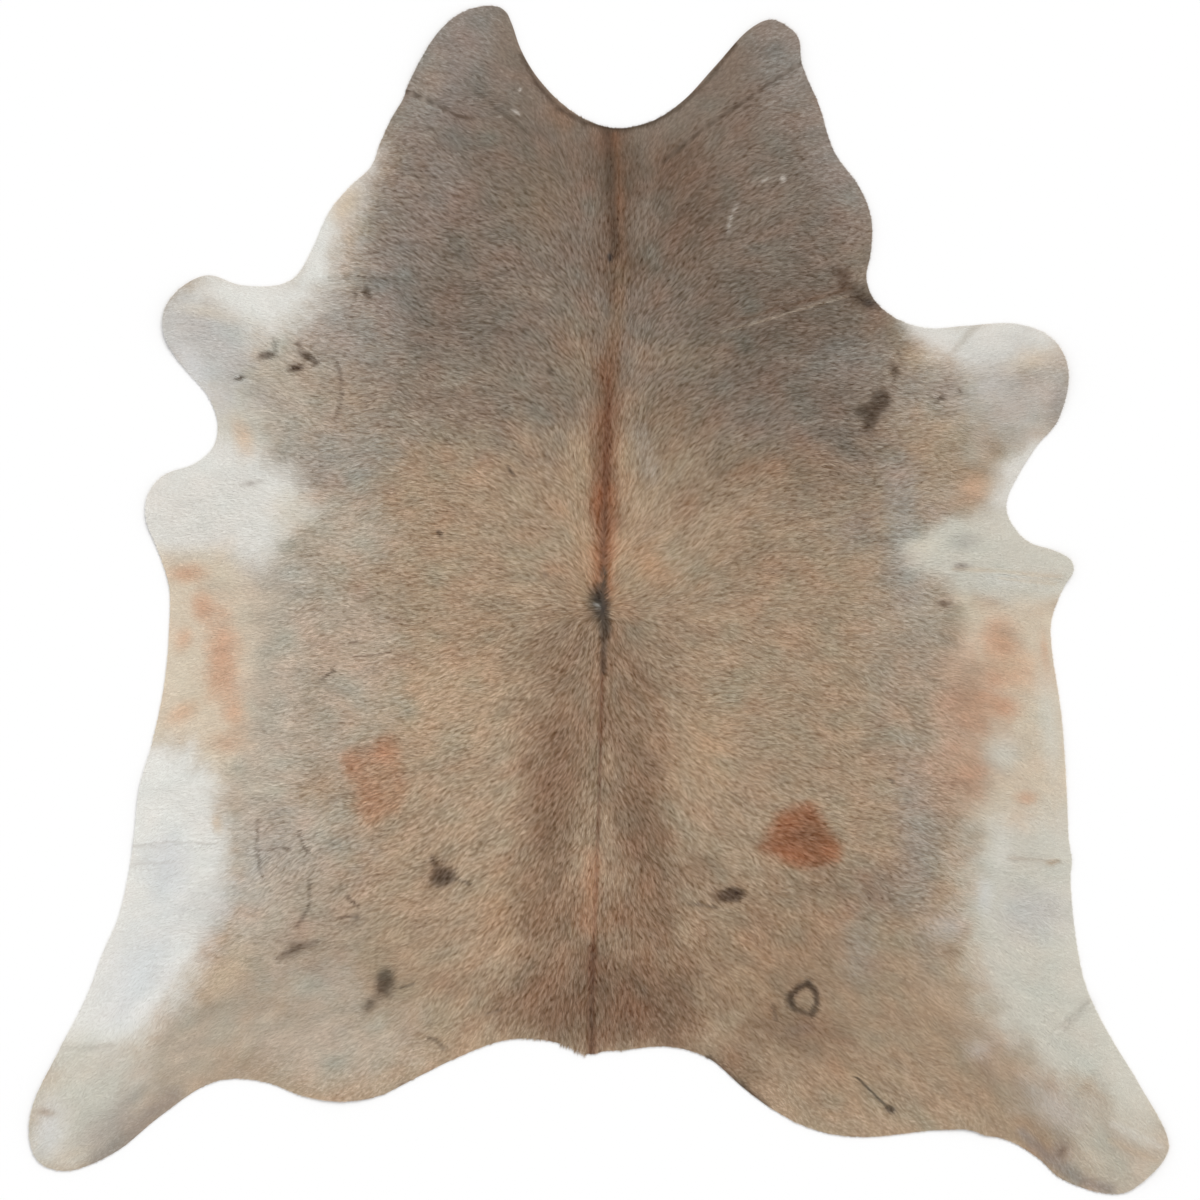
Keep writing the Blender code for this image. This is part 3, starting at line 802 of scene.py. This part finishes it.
class Painter:
    """Mixes the hide's colours from the tables of areas, patches and stripes."""

    def __init__(self, picture, flow):
        self.picture = picture
        self.frays = [noise(spots) for spots in FRAYS]
        self.clouds = smeared(CLOUDS, flow)
        self.blush = smeared(BLUSHES, flow)

    def raggedness(self, points):
        """How far out each point counts as lying in a shape, as a share that wanders about 1."""
        return 1 + sum(spots.strength * grid.at(points) for spots, grid in zip(FRAYS, self.frays))

    def colours(self, points, scatter):
        """The colour at each point. Scatter, from -1 to 1, mixes single hairs across soft edges."""
        ragged = self.raggedness(points)
        colours = np.tile(PALETTE["tan"], (len(points), 1))
        for layer in LAYERS:
            for shape in layer.values():
                near, weight = self.cover(points, ragged, shape)
                weight = shape.strength * weight
                halfway = 4 * weight * (1 - weight)
                weight = np.clip(weight + MINGLING * scatter[near] * halfway, 0, 1)[:, None]
                colours[near] += weight * (np.array(PALETTE[shape.colour]) - colours[near])
        unevenness = np.interp(colours.mean(1), *CLOUD_FADE)[:, None]
        clouds = unevenness * self.clouds.at(points)[:, None]
        blush = unevenness * self.blush.at(points)[:, None]
        return colours * (1 + CLOUD_SHADE * clouds) + blush * np.array(BLUSH)

    def contrast(self, points, colours):
        """How strongly single hairs stand out, from 0 to 1: less in pale hair and in the calm places."""
        return np.interp(colours.mean(1), *HAIR_FADE) * (1 - self.calm(points))

    def calm(self, points):
        """How smooth the hair lies, from 0 to 1."""
        even = np.ones(len(points))
        lively = np.ones(len(points))
        for shape in CALM_PATCHES.values():
            near, weight = self.cover_oval(points, even, shape)
            lively[near] *= 1 - shape.strength * weight
        return 1 - lively

    def cover(self, points, ragged, shape):
        """Which points the shape reaches, and how far it covers each of them, from 0 to 1."""
        if isinstance(shape, Patch):
            return self.cover_oval(points, ragged, shape)
        if isinstance(shape, Stripe):
            route, reach = self.picture.place(shape.route), shape.width / MILLIMETRES / 2
            near = round_about(points, route, reach)
            return near, soft_step(distance_to_line(points[near], route) / reach * ragged[near])
        outline, soft = self.picture.place(shape.outline), shape.soft / MILLIMETRES
        near = round_about(points, outline, soft)
        away = distance_to_line(points[near], np.vstack([outline, outline[:1]])) / soft
        away = np.where(inside(points[near], outline), -away, away) + (ragged[near] - 1) * AREA_FRAY
        return near, soft_step(away + 0.5)

    def cover_oval(self, points, ragged, shape):
        """Which points the oval reaches, and how far it covers each of them, from 0 to 1."""
        turn = math.radians(shape.turn)
        offset = points - self.picture.place((shape.column, shape.row))
        along = offset @ (math.cos(turn), math.sin(turn)) / (shape.length / MILLIMETRES / 2)
        across = offset @ (-math.sin(turn), math.cos(turn)) / (shape.width / MILLIMETRES / 2)
        away = np.hypot(along, across) * ragged
        near = np.flatnonzero(away < 1)
        return near, soft_step((away[near] - 1) / shape.edge + 1)


def round_about(points, places, reach):
    """The points within reach of the box round the places."""
    low, high = places.min(0) - reach, places.max(0) + reach
    return np.flatnonzero(np.all((points > low) & (points < high), axis=1))


def inside(points, outline):
    """Which of the points lie inside the closed outline."""
    x, y = points.T
    within = np.zeros(len(points), dtype=bool)
    for (x0, y0), (x1, y1) in zip(outline, np.roll(outline, -1, 0)):
        if y0 != y1:
            within ^= ((y0 > y) != (y1 > y)) & (x < x0 + (y - y0) * (x1 - x0) / (y1 - y0))
    return within


def linear(colours):
    """Picture brightness turned into the amount of light that it stands for."""
    return np.where(colours < 0.04045, colours / 12.92, ((colours + 0.055) / 1.055) ** 2.4)


def cad_outline(node):
    """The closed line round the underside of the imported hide, as corner points in order."""
    shape = bmesh.new()
    shape.from_mesh(node.data)
    bmesh.ops.remove_doubles(shape, verts=shape.verts, dist=SAME_PLACE)
    shape.normal_update()
    ahead = {}
    for edge in shape.edges:
        steepness = sorted(face.normal.z for face in edge.link_faces)
        if len(steepness) == 2 and steepness[0] < -STEEP and abs(steepness[1]) < STEEP:
            for start, end in (edge.verts, reversed(edge.verts)):
                ahead.setdefault(start.index, []).append(end)
    shape.verts.ensure_lookup_table()
    first = next(iter(ahead))
    before, here = None, shape.verts[first]
    corners = []
    while not corners or here.index != first:
        corners.append((here.co.x, here.co.y))
        onward = next(vert for vert in ahead[here.index] if vert.index != before)
        before, here = here.index, onward
    shape.free()
    corners = np.array(corners)
    x, y = corners.T
    if np.sum(x * np.roll(y, -1) - y * np.roll(x, -1)) < 0:
        corners = corners[::-1]
    return corners


def smooth_closed(corners, step):
    """Points about one step apart on a smooth closed curve through the corners."""
    before, after, beyond = np.roll(corners, 1, 0), np.roll(corners, -1, 0), np.roll(corners, -2, 0)
    t = np.linspace(0, 1, CURVE_STEPS, endpoint=False)[:, None, None]
    slope = after - before
    bend = 2 * before - 5 * corners + 4 * after - beyond
    twist = 3 * corners - before - 3 * after + beyond
    curve = 0.5 * (2 * corners + slope * t + bend * t ** 2 + twist * t ** 3)
    curve = curve.transpose(1, 0, 2).reshape(-1, 2)
    closed = np.vstack([curve, curve[:1]])
    along = np.concatenate([[0], np.cumsum(np.linalg.norm(np.diff(closed, axis=0), axis=1))])
    wanted = np.linspace(0, along[-1], round(along[-1] / step) + 1)[:-1]
    return np.column_stack([np.interp(wanted, along, closed[:, axis]) for axis in (0, 1)])


def distance_inside(rim):
    """How far each point lies inside the rim, below zero outside it, as a grid that ends at EDGE_BAND."""
    count = math.ceil(SPAN / DISTANCE_CELL) + 1
    crossings = np.zeros((count, count), dtype=np.int32)
    start = (rim + SPAN / 2) / DISTANCE_CELL
    end = np.roll(start, -1, 0)
    low = np.where(start[:, 1:] < end[:, 1:], start, end)
    high = np.where(start[:, 1:] < end[:, 1:], end, start)
    row = np.ceil(low[:, 1]).astype(int)
    crossed = row < high[:, 1]
    low, high, row = low[crossed], high[crossed], row[crossed]
    share = (row - low[:, 1]) / (high[:, 1] - low[:, 1])
    column = np.ceil(low[:, 0] + share * (high[:, 0] - low[:, 0])).astype(int)
    np.add.at(crossings, (row, column), 1)
    within = np.cumsum(crossings, axis=1) % 2 == 1

    distance = np.full((count, count), EDGE_BAND)
    reach = math.ceil(EDGE_BAND / DISTANCE_CELL)
    steps = np.arange(-reach, reach + 1)
    for x, y in (rim[::2] + SPAN / 2) / DISTANCE_CELL:
        left, low = round(x) - reach, round(y) - reach
        window = (slice(low, low + 2 * reach + 1), slice(left, left + 2 * reach + 1))
        away = np.hypot(steps + round(x) - x, (steps + round(y) - y)[:, None]) * DISTANCE_CELL
        distance[window] = np.minimum(distance[window], away)
    return Grid(np.where(within, distance, -distance), DISTANCE_CELL)


def underside_heights(node):
    """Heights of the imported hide's underside over the floor, as a grid, evened out between its faces."""
    count = math.ceil(SPAN / HEIGHT_CELL) + 1
    tree = BVHTree.FromObject(node, bpy.context.evaluated_depsgraph_get())
    up = Vector((0, 0, 1))
    hits = [tree.ray_cast(Vector((x, y, -1)), up)[0] for x, y in grid_points(HEIGHT_CELL)]
    heights = np.array([np.nan if hit is None else hit.z for hit in hits]).reshape(count, count)
    known = ~np.isnan(heights)
    heights = np.where(known, heights, 0)
    for _ in range(HEIGHT_ROUNDS):
        spread, share = soften(heights * known, 1), soften(known.astype(float), 1)
        grown = ~known & (share > 0)
        heights = np.where(grown, spread / np.where(grown, share, 1), heights)
        known = known | grown
    return Grid(soften(heights, 2), HEIGHT_CELL)


class Ground:
    """The shape of the leather: its rim, and how high it lies."""

    def __init__(self, node, picture):
        self.picture = picture
        self.corners = cad_outline(node)
        self.rim = smooth_closed(self.corners, FINE_STEP)
        self.inward = distance_inside(self.rim)
        self.heights = underside_heights(node)

    def underside(self, points):
        height = self.heights.at(points)
        for fold in FOLDS.values():
            away = distance_to_line(points, self.picture.place(fold.route))
            height = height + fold.height / MILLIMETRES * soft_step(away / (fold.width / MILLIMETRES / 2))
        return np.maximum(height, 0)


def lattice(gap, low, high):
    """Staggered rows of points over a rectangle, one gap apart."""
    row_gap = gap * math.sqrt(3) / 2
    across = np.arange(low[0], high[0], gap)
    up = np.arange(low[1], high[1], row_gap)
    x, y = np.meshgrid(across, up)
    x = x + gap / 2 * (np.arange(len(up)) % 2)[:, None]
    return np.column_stack([x.ravel(), y.ravel()])


def make_leather(ground, painter):
    """The leather as a thin closed sheet: the hair side, the suede side and the cut edge."""
    rim = smooth_closed(ground.corners, RIM_STEP)
    inner = lattice(SHEET_STEP, rim.min(0), rim.max(0))
    inner = inner[ground.inward.at(inner) > SHEET_STEP / 2]
    flat = np.concatenate([rim, inner])
    edge = [(number, (number + 1) % len(rim)) for number in range(len(rim))]
    flat = [tuple(point) for point in flat]
    corners, _, faces, _, _, _ = delaunay_2d_cdt(flat, edge, [], 1, TRIANGLE_SLACK)
    corners = np.array([tuple(corner) for corner in corners])
    count, around = len(corners), len(rim)

    run = np.roll(rim, -1, 0) - np.roll(rim, 1, 0)
    outward = np.column_stack([run[:, 1], -run[:, 0]]) / np.linalg.norm(run, axis=1)[:, None]
    height = ground.underside(corners)
    low = np.column_stack([corners, height])
    high = np.column_stack([corners, height + LEATHER])
    low[:around, :2] -= EDGE_INSET * outward
    high[:around, :2] -= EDGE_INSET * outward
    belt = np.column_stack([rim, height[:around] + LEATHER / 2])

    mesh = bpy.data.meshes.new("hide_leather")
    walls = []
    for here in range(around):
        ahead = (here + 1) % around
        walls.append((here, ahead, 2 * count + ahead, 2 * count + here))
        walls.append((2 * count + here, 2 * count + ahead, count + ahead, count + here))
    suede = [tuple(reversed(face)) for face in faces]
    skin = [tuple(count + corner for corner in face) for face in faces]
    mesh.from_pydata(np.concatenate([low, high, belt]).tolist(), [], skin + suede + walls)
    for material in (skin_material(), suede_material(), edge_material()):
        mesh.materials.append(material)
    slots = np.concatenate([np.repeat([0, 1], [len(skin), len(suede)]), np.tile([2, 0], around)])
    mesh.polygons.foreach_set("material_index", slots)
    mesh.shade_smooth()
    mesh.set_sharp_from_angle(angle=math.radians(SHARP_ANGLE))

    places = np.concatenate([corners, corners, rim])
    # The skin takes the roots' painted shade, so that gaps between the locks look shaded
    colours = linear(painter.colours(places, np.zeros(len(places))))
    add_colours(mesh, np.clip(colours * (LOCK_SHADE - np.array(TIP_PAINTED_LIGHT) / 2), 0, 1))
    leather = bpy.data.objects.new("hide_leather", mesh)
    bpy.context.scene.collection.objects.link(leather)
    return leather


def add_colours(mesh, colours):
    """Stores a colour on every corner point of the mesh."""
    rows = np.column_stack([colours, np.ones(len(colours))]).astype(np.float32)
    layer = mesh.color_attributes.new("colour_with_painted_light_and_shade", "FLOAT_COLOR", "POINT")
    layer.data.foreach_set("color", rows.ravel())


def hair_roots(ground, chance):
    """Where each lock grows, in jittered staggered rows."""
    roots = lattice(LOCK_GAP, ground.rim.min(0), ground.rim.max(0))
    roots = roots + chance.uniform(-ROOT_STRAY, ROOT_STRAY, roots.shape) * LOCK_GAP
    return roots[ground.inward.at(roots) > BARE_RIM]


def lock_lengths(ground, flow, chance, roots, along, indoors):
    """How long each lock is: shorter at the rim, longer at the tail, and cut back where it hangs over."""
    length = LOCK_LENGTH * chance.uniform(*UNEVEN, len(roots)) * (RIM_LENGTH + (1 - RIM_LENGTH) * indoors)
    tail = soft_step(np.linalg.norm(roots - ground.picture.place(TAIL), axis=1) / TAIL_REACH)
    length = length * (1 + TAIL_GROWTH * tail)
    allowed = OVERHANG * chance.uniform(0, 1, len(roots))
    fringe = TAIL_FRINGE * tail * np.clip(flow.curl.at(roots), 0, 1)
    beyond = -ground.inward.at(roots + along * length[:, None]) - allowed - fringe
    return np.maximum(length - PULL_BACK * np.maximum(beyond, 0), SHORTEST_LOCK)


def streaks_at(points, flow, painter):
    """The fine streaks and the broad bands of shade at each point. Streaks are short in calm places."""
    calm = painter.calm(points)
    long = smeared(LONG_STREAKS, flow).at(points)
    short = smeared(SHORT_STREAKS, flow).at(points)
    fine = ((1 - calm) * long + calm * short) / np.hypot(1 - calm, calm)
    broad = smeared(BROAD_BANDS, flow).at(points)
    return np.clip(fine, -STREAK_LIMIT, STREAK_LIMIT), np.clip(broad, -BAND_LIMIT, BAND_LIMIT)


def comb_locks(ground, flow, painter):
    """The three corners and the colours of every lock."""
    chance = np.random.default_rng(LOCK_SEED)
    roots = hair_roots(ground, chance)
    count = len(roots)
    along = direction(flow.angle(roots) + np.radians(chance.normal(0, LOCK_STRAY, count)))
    indoors = 1 - soft_step(ground.inward.at(roots) / EDGE_BAND)
    length = lock_lengths(ground, flow, chance, roots, along, indoors)

    seen = roots + along * (SEEN_SHARE * length)[:, None]
    fine, broad = streaks_at(seen, flow, painter)
    own = chance.uniform(-1, 1, count)
    colours = painter.colours(seen, own)
    contrast = painter.contrast(seen, colours)
    # Painted light and shade of the clumps as light streaks with darker gaps, with broad bands and each
    # lock's own random tone
    streaks = fine - GAP_SHADE * (fine ** 2 - 1)
    shade = contrast * (STREAK_SHADE * streaks + BAND_SHADE * broad + OWN_SHADE * own)
    colours = linear(np.clip(colours + shade[:, None] * STREAK_TINT, DARKEST, 1))

    tips = roots + along * length[:, None]
    half = LOCK_WIDTH / 2 * chance.uniform(*UNEVEN, count)
    roll = np.radians(ROLL * contrast * chance.uniform(-1, 1, count))
    aside = np.column_stack([-along[:, 1], along[:, 0]]) * (half * np.cos(roll))[:, None]
    root_height = ground.underside(roots) + LEATHER - ROOT_DEPTH
    rise = TIP_RISE * (1 + STREAK_RISE * np.clip(fine, -RISE_LIMIT, RISE_LIMIT))
    rise = rise * chance.uniform(*UNEVEN, count) * (RIM_RISE + (1 - RIM_RISE) * indoors)
    tip_height = ground.underside(tips) + LEATHER + rise
    left = np.column_stack([roots + aside, root_height + half * np.sin(roll)])
    right = np.column_stack([roots - aside, root_height - half * np.sin(roll)])
    tip = np.column_stack([tips, tip_height])
    corners = np.stack([right, tip, left], axis=1)
    # Painted shade at each lock's root and painted light at its tip
    gain = contrast[:, None] * np.array(TIP_PAINTED_LIGHT)
    painted_root_shade, painted_tip_light = colours * (LOCK_SHADE - gain / 2), colours * (LOCK_SHADE + gain)
    shades = np.stack([painted_root_shade, painted_tip_light, painted_root_shade], axis=1)
    return corners, np.clip(shades, 0, 1)


def make_hair(corners, shades):
    """The locks in six pieces of equal count: left and right, from the neck down to the rump."""
    material = hair_material()
    up_the_hide = np.array_split(np.argsort(-corners[:, 0, 1], kind="stable"), 3)
    pieces = []
    for name, band in zip(("neck", "middle", "rump"), up_the_hide):
        across = np.array_split(band[np.argsort(corners[band, 0, 0], kind="stable")], 2)
        for side, chosen in zip(("left", "right"), across):
            pieces.append(lock_piece(f"hair_{name}_{side}", corners[chosen], shades[chosen], material))
    return pieces


def lock_piece(name, corners, shades, material):
    """One joined mesh of locks, with a map that lies flat over them for baking."""
    count = len(corners)
    mesh = bpy.data.meshes.new(name)
    mesh.vertices.add(3 * count)
    mesh.vertices.foreach_set("co", corners.astype(np.float32).ravel())
    mesh.loops.add(3 * count)
    mesh.loops.foreach_set("vertex_index", np.arange(3 * count, dtype=np.int32))
    mesh.polygons.add(count)
    mesh.polygons.foreach_set("loop_start", np.arange(0, 3 * count, 3, dtype=np.int32))
    mesh.update(calc_edges=True)
    flat = corners[:, :, :2].reshape(-1, 2)
    low, high = flat.min(0), flat.max(0)
    layer = mesh.uv_layers.new(name="OFBake")
    layer.data.foreach_set("uv", ((flat - low) / (high - low)).astype(np.float32).ravel())
    add_colours(mesh, shades.reshape(-1, 3))
    mesh.materials.append(material)
    piece = bpy.data.objects.new(name, mesh)
    bpy.context.scene.collection.objects.link(piece)
    return piece


def new_material(name, roughness):
    """A material with its shader, node tree and links, ready for colour."""
    material = bpy.data.materials.new(name)
    material.use_nodes = True
    shader = material.node_tree.nodes["Principled BSDF"]
    shader.inputs["Roughness"].default_value = roughness
    return material, shader, material.node_tree


def stored_colour_node(tree):
    """The colour stored on the mesh."""
    stored = tree.nodes.new("ShaderNodeAttribute")
    stored.attribute_name = "colour_with_painted_light_and_shade"
    return stored


def hair_material():
    """Short dry hair: its stored colour, which holds painted light and shade, with a slight gloss."""
    material, shader, tree = new_material("cattle hair", roughness=0.60)
    tree.links.new(stored_colour_node(tree).outputs["Color"], shader.inputs["Base Color"])
    shader.inputs["Specular IOR Level"].default_value = 0.20
    return material


def skin_material():
    """The grain side under the hair, in the hair's colour darkened by the roots' painted shade."""
    material, shader, tree = new_material("skin under the hair", roughness=0.80)
    tree.links.new(stored_colour_node(tree).outputs["Color"], shader.inputs["Base Color"])
    return material


def mottled_colour(tree, scale, detail, dark, light):
    """A colour that wanders between two, in blotches of one size."""
    place = tree.nodes.new("ShaderNodeTexCoord")
    blotches = tree.nodes.new("ShaderNodeTexNoise")
    blotches.inputs["Scale"].default_value = scale
    blotches.inputs["Detail"].default_value = detail
    tree.links.new(place.outputs["Object"], blotches.inputs["Vector"])
    ramp = tree.nodes.new("ShaderNodeValToRGB")
    ramp.color_ramp.elements[0].position = 0.35
    ramp.color_ramp.elements[0].color = (*dark, 1)
    ramp.color_ramp.elements[1].position = 0.68
    ramp.color_ramp.elements[1].color = (*light, 1)
    tree.links.new(blotches.outputs["Fac"], ramp.inputs["Fac"])
    return ramp.outputs["Color"]


def suede_material():
    """The flesh side: pale buffed suede with a fine nap and soft blotches."""
    material, shader, tree = new_material("suede", roughness=0.92)
    colour = mottled_colour(tree, scale=9, detail=6, dark=(0.40, 0.32, 0.24), light=(0.56, 0.48, 0.38))
    tree.links.new(colour, shader.inputs["Base Color"])
    nap = tree.nodes.new("ShaderNodeTexNoise")
    nap.inputs["Scale"].default_value = 900
    nap.inputs["Detail"].default_value = 3
    place = tree.nodes.new("ShaderNodeTexCoord")
    tree.links.new(place.outputs["Object"], nap.inputs["Vector"])
    bump = tree.nodes.new("ShaderNodeBump")
    bump.inputs["Strength"].default_value = 0.35
    bump.inputs["Distance"].default_value = 0.0004
    tree.links.new(nap.outputs["Fac"], bump.inputs["Height"])
    tree.links.new(bump.outputs["Normal"], shader.inputs["Normal"])
    shader.inputs["Sheen Weight"].default_value = 0.25
    shader.inputs["Sheen Roughness"].default_value = 0.5
    return material


def edge_material():
    """The cut edge below the grain: fibrous and a little darker than the suede."""
    material, shader, tree = new_material("cut edge", roughness=0.88)
    colour = mottled_colour(tree, scale=320, detail=4, dark=(0.20, 0.15, 0.11), light=(0.42, 0.34, 0.26))
    tree.links.new(colour, shader.inputs["Base Color"])
    return material


def make_floor():
    """A plain pale floor."""
    mesh = bpy.data.meshes.new("floor")
    half = FLOOR_SIDE / 2
    corners = [(-half, -half, 0), (half, -half, 0), (half, half, 0), (-half, half, 0)]
    mesh.from_pydata(corners, [], [(0, 1, 2, 3)])
    material, shader, _ = new_material("pale floor", roughness=0.9)
    shader.inputs["Base Color"].default_value = (*FLOOR_COLOUR, 1)
    shader.inputs["Specular IOR Level"].default_value = 0.1
    mesh.materials.append(material)
    floor = bpy.data.objects.new("floor", mesh)
    floor.location.z = -FLOOR_DROP
    bpy.context.scene.collection.objects.link(floor)


def make_light(name, strength, spread, tilt, turn):
    """A broad soft lamp far away. Tilt is from straight overhead and turn is round the upright."""
    data = bpy.data.lights.new(name, "SUN")
    data.energy = strength
    data.angle = math.radians(spread)
    lamp = bpy.data.objects.new(name, data)
    lamp.rotation_euler = (math.radians(tilt), 0, math.radians(turn))
    bpy.context.scene.collection.objects.link(lamp)


def make_studio():
    """Soft even light from all round, with a broad key light from beyond the neck."""
    world = bpy.data.worlds.new("studio")
    world.use_nodes = True
    background = world.node_tree.nodes["Background"]
    background.inputs["Color"].default_value = (1, 1, 1, 1)
    background.inputs["Strength"].default_value = SKY_STRENGTH
    bpy.context.scene.world = world
    make_light("key", KEY_STRENGTH, spread=35, tilt=-42, turn=-25)
    bpy.context.scene.view_settings.view_transform = "Standard"


def make_camera(picture):
    """Straight above the hide, with a long lens, framed as the picture is."""
    data = bpy.data.cameras.new("camera")
    side = PICTURE_SIDE * picture.scale
    data.sensor_width = 36
    data.lens = data.sensor_width * CAMERA_HEIGHT / side
    data.clip_end = 50
    camera = bpy.data.objects.new("camera", data)
    x, y = picture.place((PICTURE_SIDE / 2, PICTURE_SIDE / 2))
    camera.location = (x, y, CAMERA_HEIGHT)
    bpy.context.scene.collection.objects.link(camera)
    bpy.context.scene.camera = camera


def build():
    """Sets the stage, makes the leather and the hair, hides the imported hide, and attaches each piece to
    the root body.
    """
    low, high = cad_box
    picture = Picture(high[1] - low[1])
    make_camera(picture)
    make_studio()
    make_floor()

    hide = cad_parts["hide"]
    ground = Ground(hide, picture)
    flow = HairFlow(picture)
    painter = Painter(picture, flow)
    leather = make_leather(ground, painter)
    hair = make_hair(*comb_locks(ground, flow, painter))

    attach(leather, "root")
    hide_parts("hide")
    for piece in hair:
        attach(piece, "root")


build()
